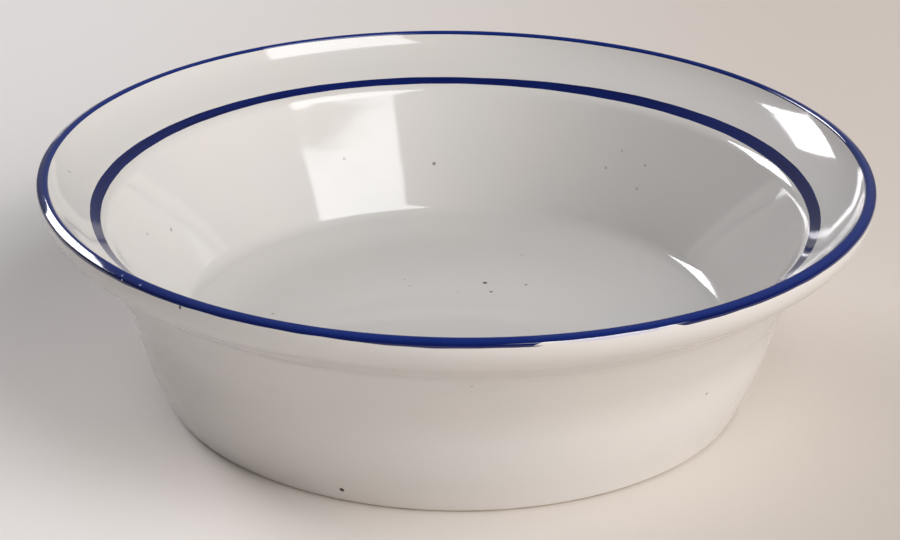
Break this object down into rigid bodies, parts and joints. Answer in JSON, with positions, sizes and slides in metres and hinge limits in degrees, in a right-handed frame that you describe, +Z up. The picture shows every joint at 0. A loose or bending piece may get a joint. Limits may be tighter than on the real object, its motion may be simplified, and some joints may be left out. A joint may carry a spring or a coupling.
{
  "type": "cereal bowl",
  "caption": "Round white porcelain cereal bowl with a flared rim, flat floor and foot ring, with plain blue bands on its lip and shoulder.",
  "frame": {"origin": "middle of the foot ring, on the surface that the bowl stands on", "axes": "+Z up along the axis that the bowl was turned about; +X and +Y level"},
  "size_m": [0.18, 0.18, 0.0506],
  "materials": {
    "bare_porcelain": "matt fired clay, left bare on the foot ring",
    "white_glaze": "glossy clear glaze over white porcelain",
    "blue_band": "glossy cobalt blue, sunk into the glaze"
  },
  "bodies": {
    "root": {"porcelain_body": "bare_porcelain", "lip_band": "blue_band", "shoulder_band": "blue_band", "flare_glaze": "white_glaze", "well_glaze": "white_glaze", "outside_glaze": "white_glaze", "base_glaze": "white_glaze"}
  },
  "joints": []
}
